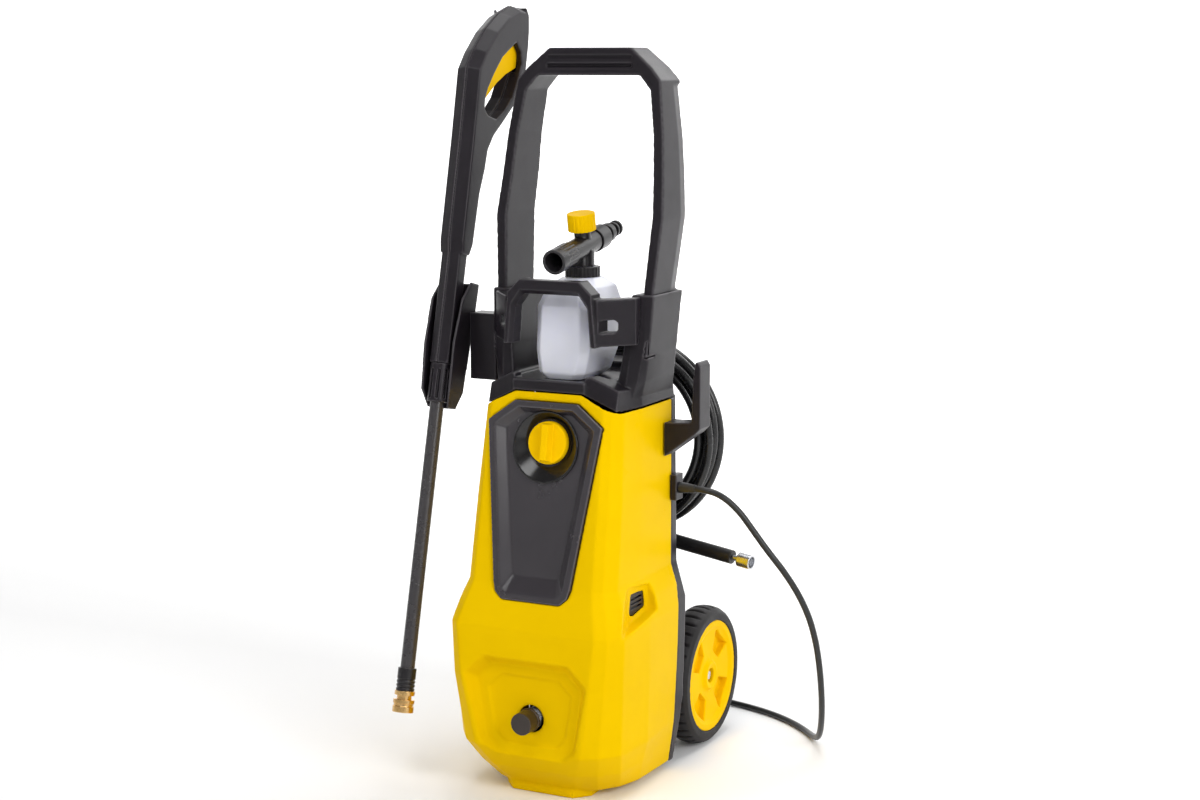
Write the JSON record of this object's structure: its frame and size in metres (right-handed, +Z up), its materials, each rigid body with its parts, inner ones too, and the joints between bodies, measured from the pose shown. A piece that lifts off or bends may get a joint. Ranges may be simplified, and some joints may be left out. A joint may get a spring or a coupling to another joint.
{
  "type": "pressure washer",
  "caption": "Upright electric pressure washer on two wheels with a tall loop handle, a holstered spray gun, a foam bottle, a rotary switch and a hung hose.",
  "frame": {"origin": "on the floor, at the middle of the base under the motor axis", "axes": "+Z up, -Y to the front with the control panel, +X to the right as seen from the front"},
  "size_m": [0.4289, 0.487, 0.8872],
  "materials": {
    "yellow_gloss": "smooth moulded",
    "black_satin": "fine moulded grain",
    "black_gloss": "satin gloss",
    "bottle_white": "translucent blow-moulded",
    "tyre": "matt",
    "cord_black": "semi-gloss sheath",
    "brass": "machined",
    "steel": "machined",
    "black_steel": "satin coat",
    "aluminium": "as cast"
  },
  "bodies": {
    "housing": {"front_cover": "yellow_gloss", "rear_cover": "black_satin", "vent_grilles": "black_satin", "control_panel": "black_gloss", "dial_ring": "black_gloss", "rotary_switch": "black_satin", "top_casing": "black_satin", "handle_loop": "black_satin", "bottle_cradle": "black_satin", "gun_holster": "black_satin", "holster_bracket": "black_satin", "axle": "steel", "motor_stator": "steel", "motor_end_bell": "black_satin", "start_capacitor": "black_gloss", "pump_gear_case": "aluminium", "pump_pistons": "steel", "pump_head": "aluminium", "pump_mount": "black_satin", "outlet_fitting": "steel", "water_inlet": "black_satin", "hose_hook_right": "black_satin", "hose_hook_rear": "black_satin", "cord_clip": "black_satin", "cord_strain_relief": "cord_black", "power_cord": "cord_black", "power_cord_coil": "cord_black", "mains_plug": "cord_black", "hose_coil": "cord_black", "hose_sleeve": "cord_black", "hose_stem": "steel", "hose_gun_end": "steel"},
    "switch_knob": {"switch_knob": "yellow_gloss"},
    "foam_lance": {"foam_bottle": "bottle_white", "bottle_collar": "black_satin", "foam_head": "black_satin", "foam_inlet_adapter": "black_satin"},
    "foam_knob": {"foam_knob": "yellow_gloss"},
    "foam_nozzle": {"foam_nozzle": "black_satin"},
    "gun": {"gun_shell_right": "black_satin", "gun_shell_left": "black_satin", "gun_valve_body": "aluminium", "gun_hose_inlet": "brass", "gun_valve_plug": "brass", "gun_screws": "steel"},
    "gun_trigger": {"gun_trigger": "yellow_gloss"},
    "lance": {"lance_connector": "black_satin", "lance_tube": "black_steel", "lance_tip_collar": "black_satin", "quick_coupler_body": "brass"},
    "coupler_collar": {"quick_coupler_collar": "brass"},
    "wheel_right": {"tyre_right": "tyre", "rim_right": "yellow_gloss"},
    "wheel_left": {"tyre_left": "tyre", "rim_left": "yellow_gloss"},
    "outlet_cap": {"outlet_cap": "black_satin"},
    "hose_nut": {"hose_nut": "steel"},
    "motor_rotor": {"motor_rotor": "steel", "motor_fan": "black_satin", "swash_plate": "steel"}
  },
  "joints": [
    {"name": "switch_knob_turn", "type": "hinge", "parent": "housing", "child": "switch_knob", "pos_m": [0.001, -0.08966, 0.4043], "axis": [0, -0.9833, 0.1822], "range_deg": [-60, 0]},
    {"name": "foam_lance_lift", "type": "slide", "parent": "housing", "child": "foam_lance", "axis": [0, 0, 1], "range_m": [0, 0.13]},
    {"name": "foam_knob_turn", "type": "hinge", "parent": "foam_lance", "child": "foam_knob", "pos_m": [0, 0.00797, 0.61495], "axis": [0, -0.1736, 0.9848], "range_deg": [0, 270]},
    {"name": "foam_nozzle_turn", "type": "hinge", "parent": "foam_lance", "child": "foam_nozzle", "pos_m": [0, -0.04324, 0.60592], "axis": [0, 0.9848, 0.1736], "range_deg": [0, 90]},
    {"name": "gun_lift", "type": "slide", "parent": "housing", "child": "gun", "axis": [0, 0.2385, 0.9711], "range_m": [0, 0.26]},
    {"name": "trigger_pull", "type": "hinge", "parent": "gun", "child": "gun_trigger", "pos_m": [-0.155, 0.03116, 0.77668], "axis": [1, 0, 0], "range_deg": [0, 8], "stiffness_Nm_per_rad": 1.2, "springref_deg": -8.59},
    {"name": "lance_twist", "type": "hinge", "parent": "gun", "child": "lance", "pos_m": [-0.155, -0.0572, 0.4421], "axis": [0, 0.2385, 0.9711], "range_deg": [0, 60]},
    {"name": "coupler_collar_slide", "type": "slide", "parent": "lance", "child": "coupler_collar", "axis": [0, 0.2385, 0.9711], "range_m": [0, 0.004], "stiffness_N_per_m": 800, "springref_m": -0.002},
    {"name": "wheel_right_spin", "type": "hinge", "parent": "housing", "child": "wheel_right", "pos_m": [0.081, 0.16, 0.084], "axis": [1, 0, 0], "continuous": true},
    {"name": "wheel_left_spin", "type": "hinge", "parent": "housing", "child": "wheel_left", "pos_m": [-0.081, 0.16, 0.084], "axis": [1, 0, 0], "continuous": true},
    {"name": "outlet_cap_pull", "type": "slide", "parent": "housing", "child": "outlet_cap", "axis": [0, -1, 0], "range_m": [0, 0.03]},
    {"name": "hose_nut_spin", "type": "hinge", "parent": "housing", "child": "hose_nut", "pos_m": [0.15967, 0.11025, 0.24414], "axis": [0.9808, -0.1615, -0.1096], "continuous": true},
    {"name": "motor_spin", "type": "hinge", "parent": "housing", "child": "motor_rotor", "pos_m": [0, 0, 0.28], "axis": [0, 0, 1], "continuous": true}
  ]
}
